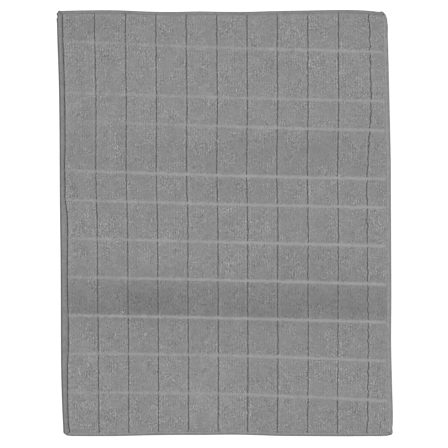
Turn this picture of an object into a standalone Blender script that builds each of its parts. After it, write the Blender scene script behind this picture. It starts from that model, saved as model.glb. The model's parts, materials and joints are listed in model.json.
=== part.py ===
"""Dish drying mat of quilted microfibre terry with taped edges, lying flat.

Stands alone: blender --background --python part.py, or run it in Blender's text editor.
Metres, +Z up. The head end points to +Y. The origin is on the surface that the mat lies
on, under the middle of its bounding box.

Sub-parts: one pad of foam-backed terry cloth, and four lengths of woven tape, each
folded over one side of the pad and mitred where two of them meet.

Every place on the mat is first given as (across, down): how far from its left side and
from its head end, on the straight rectangle it was cut to. lay() then says where that
place lies on the real mat, whose sides wander and whose corners are rounded.
"""

from collections import namedtuple
from math import cos, pi, radians, sin

import bmesh
import bpy

MM = 0.001

# Cut size of the mat, and how far its foot end lies to the right of its head end.
WIDTH = 350 * MM
LENGTH = 450 * MM
SKEW = 6 * MM

# Heights above the surface that the mat lies on.
GROUND_HEIGHT = 4.1 * MM  # the cloth between the tufts
PILE_HEIGHT = 1.5 * MM  # the tufts above that cloth
RIM_BOTTOM = 1.0 * MM  # the pad's pressed edge, inside the tape
RIM_TOP = 2.2 * MM
SEAM_HEIGHT = 3.2 * MM  # the tape where it is sewn down
TAPE_CROWN = 3.7 * MM  # the tape's highest line

# The tape: its cloth, the width that shows on each side of the mat, and its joints.
TAPE_THICKNESS = 0.7 * MM
TAPE_WIDTHS = {
    "left": 5.6 * MM,
    "right": 4.4 * MM,
    "head": 3.3 * MM,
    "foot": 3.5 * MM,
}
MITRE_GAP = 1.0 * MM  # between two tapes, along the edge
FOLD_SHARE = 0.42  # share of a tape's width taken up by its rounded fold
FOLD_STEPS = 6
RIM_SHARE = 0.5  # share of a tape's width from the mat's outline to the pad's own edge

# Radius of each corner of the outline.
CORNER_RADII = {
    ("head", "left"): 4.0 * MM,
    ("head", "right"): 6.5 * MM,
    ("foot", "left"): 9.0 * MM,
    ("foot", "right"): 3.5 * MM,
}

# Wander of the sides: mm that each stands off its straight line, towards +X.
SideRow = namedtuple("SideRow", "down left right")
SIDE_WANDER = [
    SideRow(0, -0.2, -0.4),
    SideRow(30, 0.1, 0.4),
    SideRow(75, 1.0, 0.9),
    SideRow(120, 1.1, 1.4),
    SideRow(160, 0.8, 1.7),
    SideRow(200, 0.5, 1.3),
    SideRow(260, 0.4, 0.8),
    SideRow(310, 0.0, 0.3),
    SideRow(350, -0.4, -0.5),
    SideRow(390, -0.5, -0.2),
    SideRow(430, 0.4, 0.3),
    SideRow(450, 1.5, -0.5),
]

# Wander of the ends: mm that each stands off its straight line, towards +Y.
EndRow = namedtuple("EndRow", "across head foot")
END_WANDER = [
    EndRow(0, -0.4, -0.2),
    EndRow(20, 0.2, -0.6),
    EndRow(60, 0.5, -0.5),
    EndRow(100, -1.0, 0.4),
    EndRow(125, -1.3, 0.6),
    EndRow(150, -0.8, 0.6),
    EndRow(180, -1.2, 0.9),
    EndRow(205, -1.1, 0.4),
    EndRow(230, -0.4, -0.4),
    EndRow(265, 0.2, -0.6),
    EndRow(300, 0.8, -0.8),
    EndRow(325, 0.3, -0.6),
    EndRow(342, -1.2, -0.4),
    EndRow(350, -1.8, 1.2),
]
WANDER_REACH = 60 * MM  # how far in from an edge its wander is felt

# The lengthwise grooves: mm across, at the head end and at the foot end.
GrooveRow = namedtuple("GrooveRow", "head foot")
GROOVES = [
    GrooveRow(40.2, 39.3),
    GrooveRow(72.8, 71.0),
    GrooveRow(105.0, 102.4),
    GrooveRow(137.2, 134.1),
    GrooveRow(169.5, 165.6),
    GrooveRow(201.5, 196.6),
    GrooveRow(233.6, 228.1),
    GrooveRow(265.8, 260.1),
    GrooveRow(298.4, 291.4),
    GrooveRow(331.9, 322.9),
]

# Sideways wander of the grooves, in mm: of all of them, and of the last one on top.
WanderRow = namedtuple("WanderRow", "down all last")
GROOVE_WANDER = [
    WanderRow(0, 0.2, -0.6),
    WanderRow(65, 0.2, 0.9),
    WanderRow(92, 0.4, 1.6),
    WanderRow(140, -0.3, 0.1),
    WanderRow(180, -0.7, -0.9),
    WanderRow(220, 0.2, -1.4),
    WanderRow(290, 0.0, -0.8),
    WanderRow(345, 0.3, 0.1),
    WanderRow(370, 0.3, 0.5),
    WanderRow(450, -0.3, 0.3),
]

# The cross bands: mm down, at the left side, the middle and the right side.
BandRow = namedtuple("BandRow", "left middle right")
BANDS = [
    BandRow(32.0, 39.0, 43.9),
    BandRow(86.6, 92.0, 96.0),
    BandRow(117.2, 122.8, 127.2),
    BandRow(169.6, 174.7, 178.6),
    BandRow(200.4, 205.2, 209.0),
    BandRow(241.0, 245.4, 249.6),
    BandRow(282.4, 285.7, 290.2),
    BandRow(322.8, 326.0, 330.6),
    BandRow(363.2, 365.6, 371.4),
    BandRow(404.2, 406.2, 413.2),
]

# Sections of the pile, as (distance from the line's middle, share of its full height).
SectionPoint = namedtuple("SectionPoint", "offset pile")
GROOVE_SECTION = [
    SectionPoint(-1.5 * MM, 0.8),
    SectionPoint(0, 0),
    SectionPoint(1.5 * MM, 0.8),
]
BAND_SECTION = [
    SectionPoint(-2.9 * MM, 0.8),
    SectionPoint(-1.9 * MM, 0),
    SectionPoint(1.9 * MM, 0),
    SectionPoint(2.9 * MM, 0.8),
]

# The pad's border, from its own edge inwards. past_tape is how far beyond the tape the
# point lies, or None on the pad's edge; rise is 0 on the pressed rim and 1 on the pad.
BorderPoint = namedtuple("BorderPoint", "past_tape rise pile")
BORDER_SECTION = [
    BorderPoint(None, 0, 0),
    BorderPoint(0.5 * MM, 0, 0),
    BorderPoint(1.1 * MM, 0.75, 0.1),
    BorderPoint(2.2 * MM, 1, 0.85),
    BorderPoint(6.0 * MM, 1, 1),
]

# Where a tape's outline is sampled: close together round the corners, then evenly.
CORNER_STEPS = [0, 1.2 * MM, 2.5 * MM, 4 * MM, 5.5 * MM, 7.5 * MM, 10 * MM]
TAPE_STEP = 20 * MM

# A line of the pad's grid. start and end are its places at the head and foot, or at the
# left and right; middle bows it. rise and pile are as in BorderPoint.
GridLine = namedtuple("GridLine", "start middle end wander rise pile")

PAD_CLOTH = {"colour": (0.262, 0.262, 0.262), "roughness": 0.95}
TAPE_CLOTH = {"colour": (0.240, 0.240, 0.240), "roughness": 0.85}


def smooth(table, column, at):
    """The table's column at a distance along its first column, both in mm, read from a
    curve that runs smoothly through the rows."""
    rows = [(row[0], getattr(row, column)) for row in table]
    last = len(rows) - 1
    at = min(max(at, rows[0][0]), rows[last][0])
    k = min(sum(1 for place, _ in rows[1:] if place <= at), last - 1)

    def slope(i):
        before, after = rows[max(i - 1, 0)], rows[min(i + 1, last)]
        return (after[1] - before[1]) / (after[0] - before[0])

    (start, low), (stop, high) = rows[k], rows[k + 1]
    span = stop - start
    t = (at - start) / span
    return (
        low * (1 + 2 * t) * (1 - t) ** 2
        + high * t**2 * (3 - 2 * t)
        + span * (slope(k) * t * (1 - t) ** 2 - slope(k + 1) * t**2 * (1 - t))
    )


def near_edge(inset):
    """How much of an edge's wander is felt at a distance in from it: 1 down to 0."""
    share = max(0.0, 1 - inset / WANDER_REACH)
    return share * share * (3 - 2 * share)


def rounded(across, down):
    """Moves a place on the sharp-cornered rectangle to the one with round corners.
    Each square ring about a corner's centre becomes a round one of the same radius."""
    side = "right" if across > WIDTH / 2 else "left"
    end = "foot" if down > LENGTH / 2 else "head"
    radius = CORNER_RADII[end, side]
    in_side = WIDTH - across if side == "right" else across
    in_end = LENGTH - down if end == "foot" else down
    a, b = radius - in_side, radius - in_end
    if min(a, b) > 0:
        ring = max(a, b)
        turn = pi / 4 * min(a, b) / ring
        long, short = ring * cos(turn), ring * sin(turn)
        a, b = (long, short) if a >= b else (short, long)
        across = WIDTH - radius + a if side == "right" else radius - a
        down = LENGTH - radius + b if end == "foot" else radius - b
    return across, down


def laid(across, down):
    """Where a place on the cut rectangle lies, before the mat is centred."""
    across, down = rounded(across, down)
    x = across - WIDTH / 2 + SKEW * (down / LENGTH - 0.5)
    x += smooth(SIDE_WANDER, "left", down / MM) * MM * near_edge(across)
    x += smooth(SIDE_WANDER, "right", down / MM) * MM * near_edge(WIDTH - across)
    y = LENGTH / 2 - down
    y += smooth(END_WANDER, "head", across / MM) * MM * near_edge(down)
    y += smooth(END_WANDER, "foot", across / MM) * MM * near_edge(LENGTH - down)
    return x, y


def tape_stations(length):
    """Places along one side, from corner to corner, as shares of its length."""
    corner = CORNER_STEPS[-1]
    count = round((length - 2 * corner) / TAPE_STEP)
    step = (length - 2 * corner) / count
    evenly = [corner + step * k for k in range(1, count)]
    places = CORNER_STEPS + evenly + [length - place for place in reversed(CORNER_STEPS)]
    return [place / length for place in places]


def outline_middle():
    """The middle of the bounding box of the mat's outline."""
    along = [share * LENGTH for share in tape_stations(LENGTH)]
    over = [share * WIDTH for share in tape_stations(WIDTH)]
    points = [laid(0, down) for down in along] + [laid(WIDTH, down) for down in along]
    points += [laid(across, 0) for across in over]
    points += [laid(across, LENGTH) for across in over]
    xs, ys = [x for x, _ in points], [y for _, y in points]
    return (min(xs) + max(xs)) / 2, (min(ys) + max(ys)) / 2


MIDDLE = outline_middle()


def lay(across, down, height):
    """The place in the world of a point of the mat."""
    x, y = laid(across, down)
    return x - MIDDLE[0], y - MIDDLE[1], height


def sheet_of(columns, rows, place):
    """A grid sheet with its crossings at place(column, row), facing up where rows run
    towards +Y and columns towards +X. Also says which crossing each vertex is."""
    bm = bmesh.new()
    bmesh.ops.create_grid(bm, x_segments=columns - 1, y_segments=rows - 1, size=1)
    crossings = {}
    for vert in bm.verts:
        column = round((vert.co.x + 1) / 2 * (columns - 1))
        row = round((vert.co.y + 1) / 2 * (rows - 1))
        crossings[vert] = column, row
        vert.co = place(column, row)
    return bm, crossings


def cloth(name, colour, roughness):
    material = bpy.data.materials.new(name)
    material.use_nodes = True
    shader = material.node_tree.nodes["Principled BSDF"]
    shader.inputs["Base Color"].default_value = (*colour, 1)
    shader.inputs["Roughness"].default_value = roughness
    shader.inputs["Metallic"].default_value = 0
    material.diffuse_color = (*colour, 1)
    return material


def add_object(name, bm, material, collection):
    mesh = bpy.data.meshes.new(name)
    bm.to_mesh(mesh)
    bm.free()
    mesh.materials.append(material)
    mesh.shade_smooth()
    mesh.set_sharp_from_angle(angle=radians(40))
    piece = bpy.data.objects.new(name, mesh)
    collection.objects.link(piece)
    return piece


def border_lines(near, far, size):
    """The grid lines of the pad's two borders along one direction, whose tapes are
    `near` at distance 0 and `far` at distance `size`."""
    first, last = [], []
    for point in BORDER_SECTION:
        widths = TAPE_WIDTHS[near], TAPE_WIDTHS[far]
        if point.past_tape is None:
            insets = [RIM_SHARE * width for width in widths]
        else:
            insets = [width + point.past_tape for width in widths]
        start, end = insets[0], size - insets[1]
        first.append(GridLine(start, start, start, None, point.rise, point.pile))
        last.append(GridLine(end, end, end, None, point.rise, point.pile))
    return first, last[::-1]


def with_tile_middles(lines, sections):
    """Adds a line at full height halfway between the sections' neighbouring ends."""
    size = len(sections)
    filled = []
    for k, line in enumerate(lines):
        filled.append(line)
        if k % size == size - 1 and k + 1 < len(lines):
            after = lines[k + 1]
            halves = [(a + b) / 2 for a, b in zip(line[:3], after[:3])]
            filled.append(GridLine(*halves, line.wander, 1, 1))
    return filled


def groove_lines():
    """The pad's grid lines that run lengthwise, from left to right."""
    first, last = border_lines("left", "right", WIDTH)
    lines = []
    for k, groove in enumerate(GROOVES):
        wander = "last" if k == len(GROOVES) - 1 else "all"
        start, end = groove.head * MM, groove.foot * MM
        for point in GROOVE_SECTION:
            places = [place + point.offset for place in (start, (start + end) / 2, end)]
            lines.append(GridLine(*places, wander, 1, point.pile))
    return first + with_tile_middles(lines, GROOVE_SECTION) + last


def band_lines():
    """The pad's grid lines that run across, from the head end to the foot end."""
    first, last = border_lines("head", "foot", LENGTH)
    lines = []
    for band in BANDS:
        for point in BAND_SECTION:
            places = [place * MM + point.offset for place in band]
            lines.append(GridLine(*places, None, 1, point.pile))
    return first + with_tile_middles(lines, BAND_SECTION) + last


def along_line(line, share):
    """Where a grid line is, at a share of its length: a straight line, bowed."""
    bow = line.middle - (line.start + line.end) / 2
    return line.start + (line.end - line.start) * share + 4 * bow * share * (1 - share)


def crossing(column, row):
    """Where two grid lines cross, as (across, down)."""
    across = (column.start + column.end) / 2
    for _ in range(3):
        down = along_line(row, across / WIDTH)
        across = along_line(column, down / LENGTH)
        if column.wander:
            across += smooth(GROOVE_WANDER, "all", down / MM) * MM
        if column.wander == "last":
            across += smooth(GROOVE_WANDER, "last", down / MM) * MM
    return across, down


def make_pad(collection):
    """The quilted pad: tufted tiles between the grooves and the cross bands above, a
    flat base below, and a pressed rim all round that goes into the tape."""
    columns = groove_lines()
    rows = band_lines()[::-1]

    def top_point(i, j):
        column, row = columns[i], rows[j]
        rise, pile = column.rise * row.rise, column.pile * row.pile
        height = RIM_TOP + rise * (GROUND_HEIGHT - RIM_TOP) + pile * PILE_HEIGHT
        return lay(*crossing(column, row), height)

    def base_height(i, j):
        return RIM_BOTTOM * (1 - min(columns[i].rise, rows[j].rise))

    bm, base = sheet_of(len(columns), len(rows), top_point)
    bmesh.ops.extrude_face_region(bm, geom=list(bm.faces))
    for vert, (column, row) in base.items():
        vert.co.z = base_height(column, row)
    flat = [f for f in bm.faces if all(v.co.z == 0 for v in f.verts)]
    bmesh.ops.dissolve_faces(bm, faces=flat)
    bmesh.ops.recalc_face_normals(bm, faces=bm.faces)
    add_object("mat", bm, cloth("terry", **PAD_CLOTH), collection)


def tape_section(width):
    """One tape's outer face from its seam on top, round its fold, to its free edge
    below, as (inset, height)."""
    fold = FOLD_SHARE * width
    half = TAPE_CROWN / 2
    points = [(width, SEAM_HEIGHT), ((width + fold) / 2, TAPE_CROWN - 0.1 * MM)]
    for k in range(FOLD_STEPS + 1):
        turn = pi / 2 - pi * k / FOLD_STEPS
        points.append((fold * (1 - cos(turn)), half * (1 + sin(turn))))
    points.append((width, 0))
    return points


def make_tape(side, before, after, material, collection):
    """The tape folded over one side. `before` and `after` are the sides whose tapes
    it meets, at the distance 0 along it and at its far end."""
    length = LENGTH if side in ("left", "right") else WIDTH
    width = TAPE_WIDTHS[side]
    section = tape_section(width)
    stations = tape_stations(length)

    def point(i, j):
        inset, height = section[i]
        start = MITRE_GAP / 2 + inset * TAPE_WIDTHS[before] / width
        stop = length - MITRE_GAP / 2 - inset * TAPE_WIDTHS[after] / width
        along = start + (stop - start) * stations[j]
        places = {
            "left": (inset, along),
            "right": (WIDTH - inset, along),
            "head": (along, inset),
            "foot": (along, LENGTH - inset),
        }
        return lay(*places[side], height)

    bm, _ = sheet_of(len(section), len(stations), point)
    if side in ("right", "head"):
        bmesh.ops.reverse_faces(bm, faces=bm.faces)
    piece = add_object(f"binding_{side}", bm, material, collection)
    wall = piece.modifiers.new("cloth thickness", "SOLIDIFY")
    wall.thickness = TAPE_THICKNESS
    wall.offset = -1
    wall.use_even_offset = True


def build():
    for old in list(bpy.data.objects):
        bpy.data.objects.remove(old, do_unlink=True)
    collection = bpy.data.collections.new("dish drying mat")
    bpy.context.scene.collection.children.link(collection)
    make_pad(collection)
    tape = cloth("woven tape", **TAPE_CLOTH)
    make_tape("left", "head", "foot", tape, collection)
    make_tape("right", "head", "foot", tape, collection)
    make_tape("head", "left", "right", tape, collection)
    make_tape("foot", "left", "right", tape, collection)


build()
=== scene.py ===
"""Dish drying mat of quilted microfibre terry with taped edges, lying flat on a pale table.

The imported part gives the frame: a quilted pad and four tapes. This script dresses it. The
pad becomes its ground cloth with a pile of separate tufts, each tape becomes a woven tape
folded over the edge and sewn down, and a little lint lies on top.

Every place on the mat is first given as (across, down): how far from its left side and
from its head end, on the straight rectangle it was cut to. lay() then says where that
place lies on the real mat, whose sides wander and whose corners are rounded. The cut
size, the heights, the tape's widths, the corners' radii and the wander of the sides and
ends are those of the part.
"""

import json
from collections import namedtuple
from math import cos, pi, radians, sin

import bmesh
import bpy
import numpy as np
from mathutils import Matrix, Vector, noise

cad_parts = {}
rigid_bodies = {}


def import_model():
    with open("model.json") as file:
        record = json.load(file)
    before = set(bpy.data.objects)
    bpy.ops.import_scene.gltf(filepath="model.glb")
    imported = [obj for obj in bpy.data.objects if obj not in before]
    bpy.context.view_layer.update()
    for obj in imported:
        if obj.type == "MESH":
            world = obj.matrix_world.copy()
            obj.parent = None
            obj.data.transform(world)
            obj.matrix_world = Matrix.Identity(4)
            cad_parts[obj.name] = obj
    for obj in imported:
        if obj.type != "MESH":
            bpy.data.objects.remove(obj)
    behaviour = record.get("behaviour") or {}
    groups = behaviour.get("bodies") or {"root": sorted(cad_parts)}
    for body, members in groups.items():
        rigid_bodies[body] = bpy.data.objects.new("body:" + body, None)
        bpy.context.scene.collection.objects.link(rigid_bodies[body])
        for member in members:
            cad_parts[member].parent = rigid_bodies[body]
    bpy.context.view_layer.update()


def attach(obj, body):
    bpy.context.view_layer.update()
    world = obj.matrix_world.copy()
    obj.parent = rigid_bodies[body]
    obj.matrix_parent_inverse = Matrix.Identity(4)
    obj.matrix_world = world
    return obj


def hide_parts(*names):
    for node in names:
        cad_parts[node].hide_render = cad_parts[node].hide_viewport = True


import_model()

MM = 0.001
BODY = "root"


def table(fields, rows):
    """A table whose rows say their fields by name."""
    row_kind = namedtuple("Row", fields)
    return [row_kind(*row) for row in rows]


# Cut size of the mat, and how far its foot end lies to the right of its head end.
WIDTH = 350 * MM
LENGTH = 450 * MM
SKEW = 6 * MM

# Heights above the surface that the mat lies on.
GROUND_HEIGHT = 4.1 * MM  # the cloth in the grooves and bands
RIM_BOTTOM = 1.0 * MM  # the pad's pressed edge, inside the tape
RIM_TOP = 2.2 * MM
SEAM_HEIGHT = 3.2 * MM  # the tape where it is sewn down
TAPE_CROWN = 3.7 * MM  # the tape's highest line

# The tape: its cloth and the width that shows on each side of the mat.
TAPE_THICKNESS = 0.7 * MM
TAPE_WIDTHS = {
    "left": 5.6 * MM,
    "right": 4.4 * MM,
    "head": 3.3 * MM,
    "foot": 3.5 * MM,
}
FOLD_SHARE = 0.42  # share of a tape's width taken up by its rounded fold
RIM_SHARE = 0.5  # share of a tape's width from the mat's outline to the pad's own edge

# Radius of each corner of the outline.
CORNER_RADII = {
    ("head", "left"): 4.0 * MM,
    ("head", "right"): 6.5 * MM,
    ("foot", "left"): 9.0 * MM,
    ("foot", "right"): 3.5 * MM,
}

# Wander of the sides: mm that each stands off its straight line, towards +X.
SIDE_WANDER = table("down left right", [
    (0, -0.2, -0.4), (30, 0.1, 0.4), (75, 1.0, 0.9), (120, 1.1, 1.4), (160, 0.8, 1.7),
    (200, 0.5, 1.3), (260, 0.4, 0.8), (310, 0.0, 0.3), (350, -0.4, -0.5), (390, -0.5, -0.2),
    (430, 0.4, 0.3), (450, 1.5, -0.5),
])

# Wander of the ends: mm that each stands off its straight line, towards +Y.
END_WANDER = table("across head foot", [
    (0, -0.4, -0.2), (20, 0.2, -0.6), (60, 0.5, -0.5), (100, -1.0, 0.4), (125, -1.3, 0.6),
    (150, -0.8, 0.6), (180, -1.2, 0.9), (205, -1.1, 0.4), (230, -0.4, -0.4),
    (265, 0.2, -0.6), (300, 0.8, -0.8), (325, 0.3, -0.6), (342, -1.2, -0.4),
    (350, -1.8, 1.2),
])
WANDER_REACH = 60 * MM  # how far in from an edge its wander is felt

# Corners drawn out of their round shape: mm across and down, how far the pull is felt,
# and how far it goes towards +X and towards +Y.
PULLS = table("across down reach right up", [
    (1.6, 447.6, 3.6, -1.7, -1.7),
    (349.5, 449.5, 2.6, 0.7, -0.5),
])

# The lengthwise grooves: mm across, at the head end and at the foot end.
GROOVES = table("head foot", [
    (40.2, 39.3), (72.8, 71.0), (105.0, 102.4), (137.2, 134.1), (169.5, 165.6),
    (201.5, 196.6), (233.6, 228.1), (265.8, 260.1), (298.4, 291.4), (331.9, 322.9),
])

# Sideways wander of the grooves, in mm: of all of them, and of the last one on top.
GROOVE_WANDER = table("down all last", [
    (0, 0.0, -1.2), (65, 0.0, -0.1), (92, 0.2, 0.5), (140, -0.4, -1.3), (180, -0.7, -2.6),
    (220, 0.2, -2.7), (290, 0.0, -1.2), (345, 0.1, 0.4), (370, 0.1, 0.6), (450, -0.5, 0.0),
])

# The cross bands: mm down at the left side, the middle and the right side, and how clear
# of pile each is at those places, from 0 to 1.
BANDS = table("left middle right clear_left clear_middle clear_right", [
    (32.4, 39.1, 44.0, 0.40, 0.52, 0.74),
    (86.6, 92.0, 96.0, 0.38, 0.55, 0.72),
    (116.5, 122.4, 127.0, 0.20, 0.62, 0.90),
    (168.8, 174.5, 178.3, 0.40, 0.90, 0.92),
    (199.9, 204.9, 208.6, 0.46, 0.83, 1.00),
    (240.6, 245.0, 249.3, 0.38, 0.82, 0.94),
    (282.0, 285.2, 289.8, 0.38, 0.94, 1.00),
    (322.3, 325.4, 330.0, 0.78, 0.92, 1.00),
    (363.1, 365.0, 371.1, 0.48, 0.75, 1.00),
    (404.0, 405.9, 413.0, 0.52, 0.62, 0.92),
])

# Sections of the ground cloth across a groove and across a band: how far each point is
# from the line's middle, in mm, its share of pile, its share of the groove's crease, which
# is dented and darkened with painted shade, and how much painted light the tufts there
# get, most on the side that faces the key lamp.
GROOVE_SECTION = table("offset pile crease splay", [
    (-3.3, 1, 0, 0),
    (-1.9, 1, 0, 0.7),
    (-1.1, 1, 0, 0.7),
    (-0.5, 0, 0.6, 0.7),
    (0, 0, 1, 0),
    (0.5, 0, 0.6, 1),
    (1.1, 1, 0, 1),
    (1.9, 1, 0, 1),
    (3.5, 1, 0, 0),
])
BAND_SECTION = table("offset pile crease splay", [
    (-2.25, 1, 0, 0),
    (-0.8, 0, 0, 0),
    (0, 0, 0, 0),
    (0.8, 0, 0, 0),
    (2.25, 1, 0, 0),
])
CREASE_DEPTH = 0.9 * MM  # of the quilting's line, below the ground cloth beside it
BAND_AT_GROOVE = 0.45  # share of a band's clearness that is left where it meets a groove
CROSSING_COVER = 1.1  # how fully a wholly clear band presses a groove's crease flat

# The grooves' small unsteadiness: beside the left side, how much more of it there is
# beside the right, and in the last groove; and its lengths, across and along.
WOBBLE_LEFT = 0.42 * MM
WOBBLE_MORE = 0.45 * MM
WOBBLE_LAST = 0.8 * MM
WOBBLE_SIZE = (25 * MM, 5.5 * MM)

# The pad's border, from its own edge inwards. past_tape is how many mm beyond the tape
# the point lies, or None on the pad's edge; rise is 0 on the pressed rim and 1 on the
# pad; trim is the height of the pile there, 1 for its full height; the rest is as in the
# sections above.
BORDER_FIELDS = "past_tape rise pile trim crease splay"
# On the left, the crease darkens the bare valley along the seam with painted shade.
OPEN_SEAM = table(BORDER_FIELDS, [
    (None, 0, 0, 0.6, 0.75, 0),
    (0.1, 0, 0, 0.6, 0.85, 0),
    (0.6, 0.3, 0, 0.7, 0.93, 0),
    (1.1, 0.6, 0, 0.8, 0.65, 0),
    (1.6, 0.8, 1, 0.9, 0, 1),
    (2.8, 1, 1, 1, 0, 1),
])
COVERED_SEAM = table(BORDER_FIELDS, [
    (None, 0, 0, 0.5, 0, 0),
    (0.1, 0.15, 0.5, 0.5, 0, 0),
    (0.4, 0.5, 1, 0.55, 0, 0),
    (1.4, 0.75, 1, 0.7, 0, 0),
    (3.6, 1, 1, 1, 0, 0),
])
# Beside the right and foot seams, the tufts get painted light against the shade there.
HIDDEN_SEAM = table(BORDER_FIELDS, [
    (None, 0, 0, 0.6, 0, 2),
    (0.1, 0.2, 0.9, 0.6, 0, 2),
    (0.4, 0.5, 1, 0.65, 0, 2.4),
    (1.4, 0.8, 1, 0.8, 0, 1.2),
    (3.6, 1, 1, 1, 0, 0),
])
BORDER_SECTIONS = {
    "left": OPEN_SEAM,
    "right": HIDDEN_SEAM,
    "head": COVERED_SEAM,
    "foot": HIDDEN_SEAM,
}
SIDE_LENGTHS = {"left": LENGTH, "right": LENGTH, "head": WIDTH, "foot": WIDTH}

# The ground cloth between the grooves: its lines are this far apart, and it swells.
TILE_STEP = 3.0 * MM
TILE_LIFT = 0.1 * MM  # under the pile, over the bare lines
TILE_SWELL = 0.35 * MM  # of the quilting, at the middle of a tile
TILE_FLATNESS = 1.6  # 1 for a tile domed like a bow, more for one with a flat middle
COCKLE = 0.12 * MM  # small unevenness of the cloth as it lies
COCKLE_SIZE = 17 * MM

# The pile: its tufts, how they stand and how light each is. A clump's lean is noise
# times CLUMP_LEAN, with CLUMP_AIM added. Shades run from 0, dark, to 1, light.
TUFT_SPACING = 1.0 * MM
TUFT_DENSITY = 3.5e6  # trial places for each square metre, thinned to the spacing
TUFT_HEIGHT = 1.35 * MM
TUFT_FOOT = 0.62 * MM
TUFT_BELLY = 0.82 * MM
TUFT_SINK = 0.2 * MM
TUFT_SHAPE = (0.68, 1.4, 1.0)  # narrower and longer than round
TUFT_TURN = radians(35)  # how far a tuft is turned either way
TUFT_KINDS = [(0.25, 0.3), (0.45, -0.4), (0.6, 0.7), (0.35, 1.1)]  # mm of bend, twist
TUFT_SIZES = (0.82, 1.2)  # smallest and largest
THIN_PILE_SIZE = 0.55  # of a tuft where the pile gives out
CLUMP_SIZE = 2.6 * MM
CLUMP_LEAN = (1.1, 1.8, 0)
CLUMP_AIM = (-0.55, -1.25, 1.0)
OWN_LEAN = 0.38  # how far a tuft leans its own way
CLUMP_SHADE_SIZE = 3.4 * MM
CLUMP_SHAPE = (0.5, 1.1, 1.0)  # clumps of one shade are wider than long
CLUMP_SHADES = (0.18, 0.82)
OWN_SHADE = 0.18  # how much lighter or darker a tuft is than its clump
PATCH_SIZE = 13 * MM  # of places where the pile is livelier or calmer
PATCH_SHADES = (0.35, 1.5)  # of OWN_SHADE, in a calm patch and in a lively one
PATCH_GRAIN = (0.3, 1.7)  # of the fine grain of the tufts' cloth
PATCH_NOISE = (0.35, 0.65)  # the noise that stands for calm and for lively
CLOUD_SIZE = 14 * MM  # of soft unevenness in the terry's tone

# How light each tape is: at its fold, darkened with painted shade where it turns down away
# from the light; along its middle; and at its seam, made lighter with painted light against
# the pile's shadow there, and on the left a little darker with painted shade. Also how far
# out from the tape's edge the seam's tone reaches.
TapeToneAndShade = namedtuple("TapeToneAndShade", "fold middle seam")
TAPE_TONES_AND_PAINTED_SHADE = {
    "left": TapeToneAndShade(0.42, 1.05, 0.98),
    "right": TapeToneAndShade(0.97, 1.16, 1.68),
    "head": TapeToneAndShade(0.42, 1.09, 1.22),
    "foot": TapeToneAndShade(0.44, 1.03, 1.55),
}
FOLD_SHADE_SHARPNESS = 1.9  # how quickly the fold's painted shade is reached from the fold's top line
SEAM_SHADING_REACH = 1.6 * MM

# How far the left tape's seam strays from its line, in mm further in from the outline.
SEAM_DRIFT = table("down left", [
    (0, 0.0), (145, 0.0), (165, -0.6), (185, -0.2), (199, -0.3), (210, 1.2), (225, 2.0),
    (243, 2.0), (262, 1.5), (305, 1.4), (325, 2.1), (358, 2.0), (374, 1.1), (400, 0.6),
    (414, 0.1), (450, 0.0),
])

# The tape's sewing.
STITCH_PITCH = 2.6 * MM
STITCH_LENGTH = 2.0 * MM
STITCH_THICKNESS = 0.34 * MM
SEAM_INSET = 0.9 * MM  # from the tape's inner edge to its line of stitches
STITCH_DIMPLE = 0.16 * MM
DIMPLE_REACH = 0.8 * MM  # how far either way of the seam its dimples are felt
STITCH_RISE = 0.4  # how far the tape rises between stitches, as a share of the dimple
STITCH_FREE = 2.2  # tape widths at each end without stitches
MITRE_GAP = 0.12 * MM
FOLD_STEPS = 7  # of the tape's section, round its fold
RUCKS = [(7 * MM, 0.16), (2.2 * MM, 0.07)]  # small unevenness of a tape: size, mm of height

# The studio.
FLOOR_SIZE = 40  # m, so that no edge of it shows from low down
FLOOR_GAP = 0.1 * MM  # from the mat's back to the floor, so that the two stay apart
TABLE_COLOUR = (0.6, 0.6, 0.6)
TABLE_GLOW = 0.5
FOCAL_LENGTH = 85  # mm, on a sensor of 36 mm
SENSOR = 36
VIEW_WIDTH = 473.7 * MM
VIEW_MIDDLE = (-0.85 * MM, -0.95 * MM)
ROOM_LIGHT = 0.34  # strength of the light from all round
LAMPS = table("name place size power", [
    ("key", (-2.6, 1.2, 2.9), 1.6, 33),
    ("overhead", (0.1, 0.1, 2.6), 1.6, 49),
])


def field(rows, name):
    """One field of all the rows of a table."""
    return np.array([getattr(row, name) for row in rows], float)


def smooth(rows, column, at):
    """A table's column at distances along its first column, read from a curve that runs
    smoothly through the rows. The table is in mm, the distances and the result in m."""
    places, values = field(rows, rows[0]._fields[0]), field(rows, column)
    slopes = np.empty_like(values)
    slopes[1:-1] = (values[2:] - values[:-2]) / (places[2:] - places[:-2])
    slopes[0] = (values[1] - values[0]) / (places[1] - places[0])
    slopes[-1] = (values[-1] - values[-2]) / (places[-1] - places[-2])
    at = np.clip(at / MM, places[0], places[-1])
    k = np.clip(np.searchsorted(places, at, side="right") - 1, 0, len(places) - 2)
    span = places[k + 1] - places[k]
    t = (at - places[k]) / span
    low, high = values[k] * (1 + 2 * t) * (1 - t) ** 2, values[k + 1] * t**2 * (3 - 2 * t)
    bend = span * (slopes[k] * t * (1 - t) ** 2 - slopes[k + 1] * t**2 * (1 - t))
    return (low + high + bend) * MM


def near_edge(inset):
    """How much of an edge's wander is felt at a distance in from it: 1 down to 0."""
    share = np.clip(1 - inset / WANDER_REACH, 0, 1)
    return share * share * (3 - 2 * share)


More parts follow.
